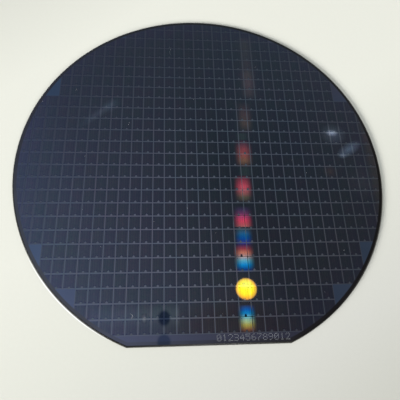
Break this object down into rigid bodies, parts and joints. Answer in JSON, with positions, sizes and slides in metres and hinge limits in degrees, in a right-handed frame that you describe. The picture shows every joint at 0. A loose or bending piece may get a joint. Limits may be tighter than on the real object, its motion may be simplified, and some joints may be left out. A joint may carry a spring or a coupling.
{
  "type": "silicon wafer",
  "caption": "Round silicon wafer with one flat, a rounded edge and a printed grid of dies on its front face.",
  "frame": {"origin": "on the back face, on the axis of the disc", "axes": "+Z along the disc's axis, from the back face to the printed front face; the flat lies on the -Y side and runs along X"},
  "size_m": [0.15, 0.1443, 0.0007],
  "materials": {
    "patterned_silicon": "polished, with thin films"
  },
  "bodies": {
    "root": {"wafer": "patterned_silicon"}
  },
  "joints": []
}
